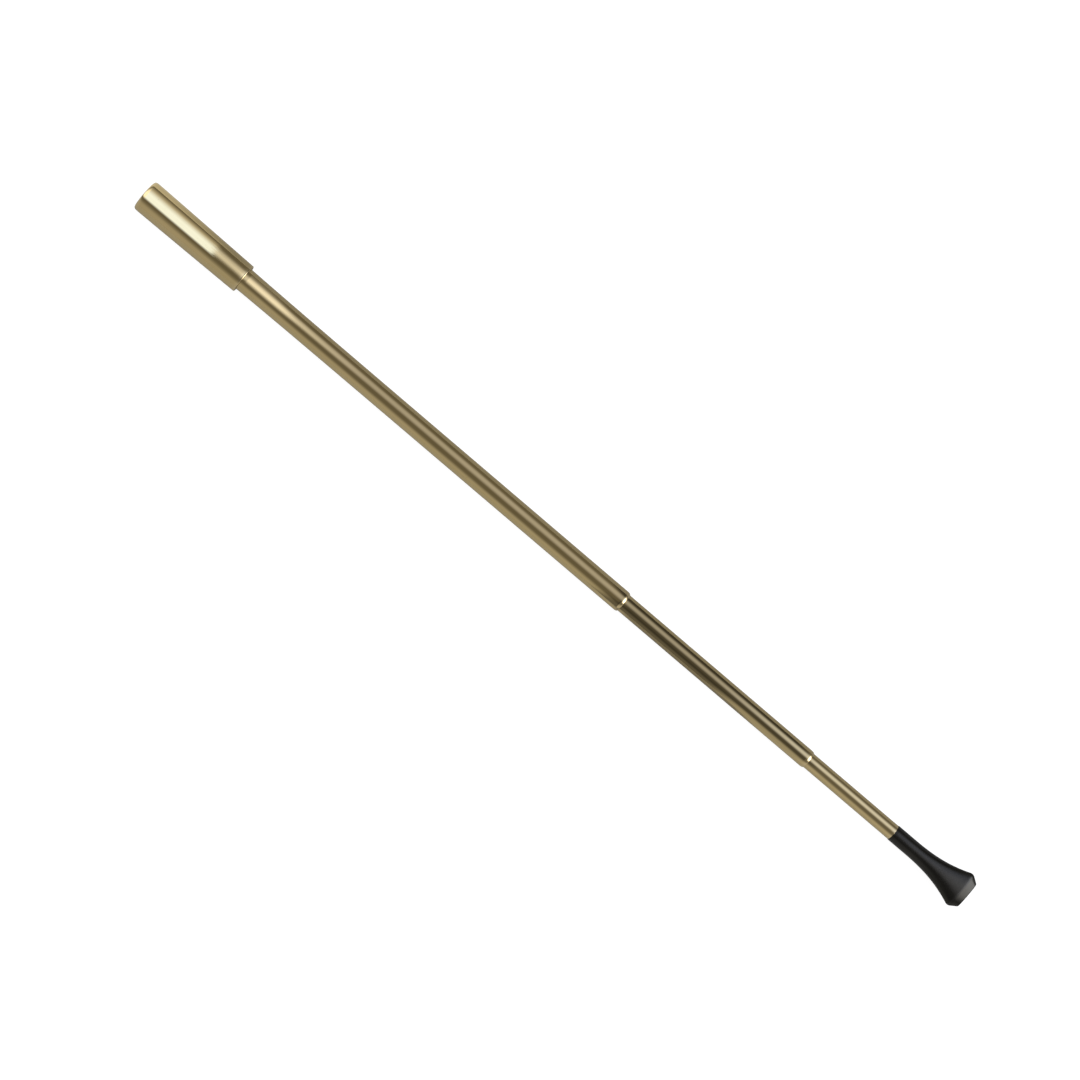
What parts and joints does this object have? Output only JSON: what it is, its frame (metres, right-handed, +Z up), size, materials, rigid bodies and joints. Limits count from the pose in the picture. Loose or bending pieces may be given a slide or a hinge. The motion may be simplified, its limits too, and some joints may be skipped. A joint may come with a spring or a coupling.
{
  "type": "telescopic cigarette holder",
  "caption": "Slim brass-coloured telescopic cigarette holder with a tapered socket, sliding tubes that step down and a black flattened mouthpiece.",
  "frame": {"origin": "centre of the bounding box's bottom face: on the surface that the holder lies on, midway between the socket's mouth and the mouthpiece's tip, with the tubes drawn out", "axes": "+X along the tubes from the socket to the mouthpiece, +Y across the mouthpiece's flat, +Z up through its thickness"},
  "size_m": [0.3088, 0.0116, 0.0098],
  "materials": {
    "brass_finish": "satin polished",
    "bare_brass": "machined",
    "spring_bronze": "rolled",
    "black_plastic": "satin moulded"
  },
  "bodies": {
    "holder_body": {"cigarette_socket": "brass_finish", "reducing_bush": "bare_brass", "outer_tube": "brass_finish"},
    "middle_sleeve": {"middle_friction_sleeve": "spring_bronze"},
    "middle_section": {"middle_tube": "brass_finish", "middle_stop_plug": "bare_brass"},
    "inner_sleeve": {"inner_friction_sleeve": "spring_bronze"},
    "inner_section": {"inner_tube": "brass_finish", "inner_stop_plug": "bare_brass", "mouthpiece": "black_plastic"}
  },
  "joints": [
    {"name": "middle_slide", "type": "slide", "parent": "holder_body", "child": "middle_sleeve", "axis": [1, 0, 0], "range_m": [-0.069, 0]},
    {"name": "middle_swivel", "type": "hinge", "parent": "middle_sleeve", "child": "middle_section", "pos_m": [0.0236, 0, 0.0049], "axis": [1, 0, 0], "continuous": true},
    {"name": "inner_slide", "type": "slide", "parent": "middle_section", "child": "inner_sleeve", "axis": [1, 0, 0], "range_m": [-0.0315, 0]},
    {"name": "inner_swivel", "type": "hinge", "parent": "inner_sleeve", "child": "inner_section", "pos_m": [0.0936, 0, 0.0049], "axis": [1, 0, 0], "continuous": true}
  ]
}
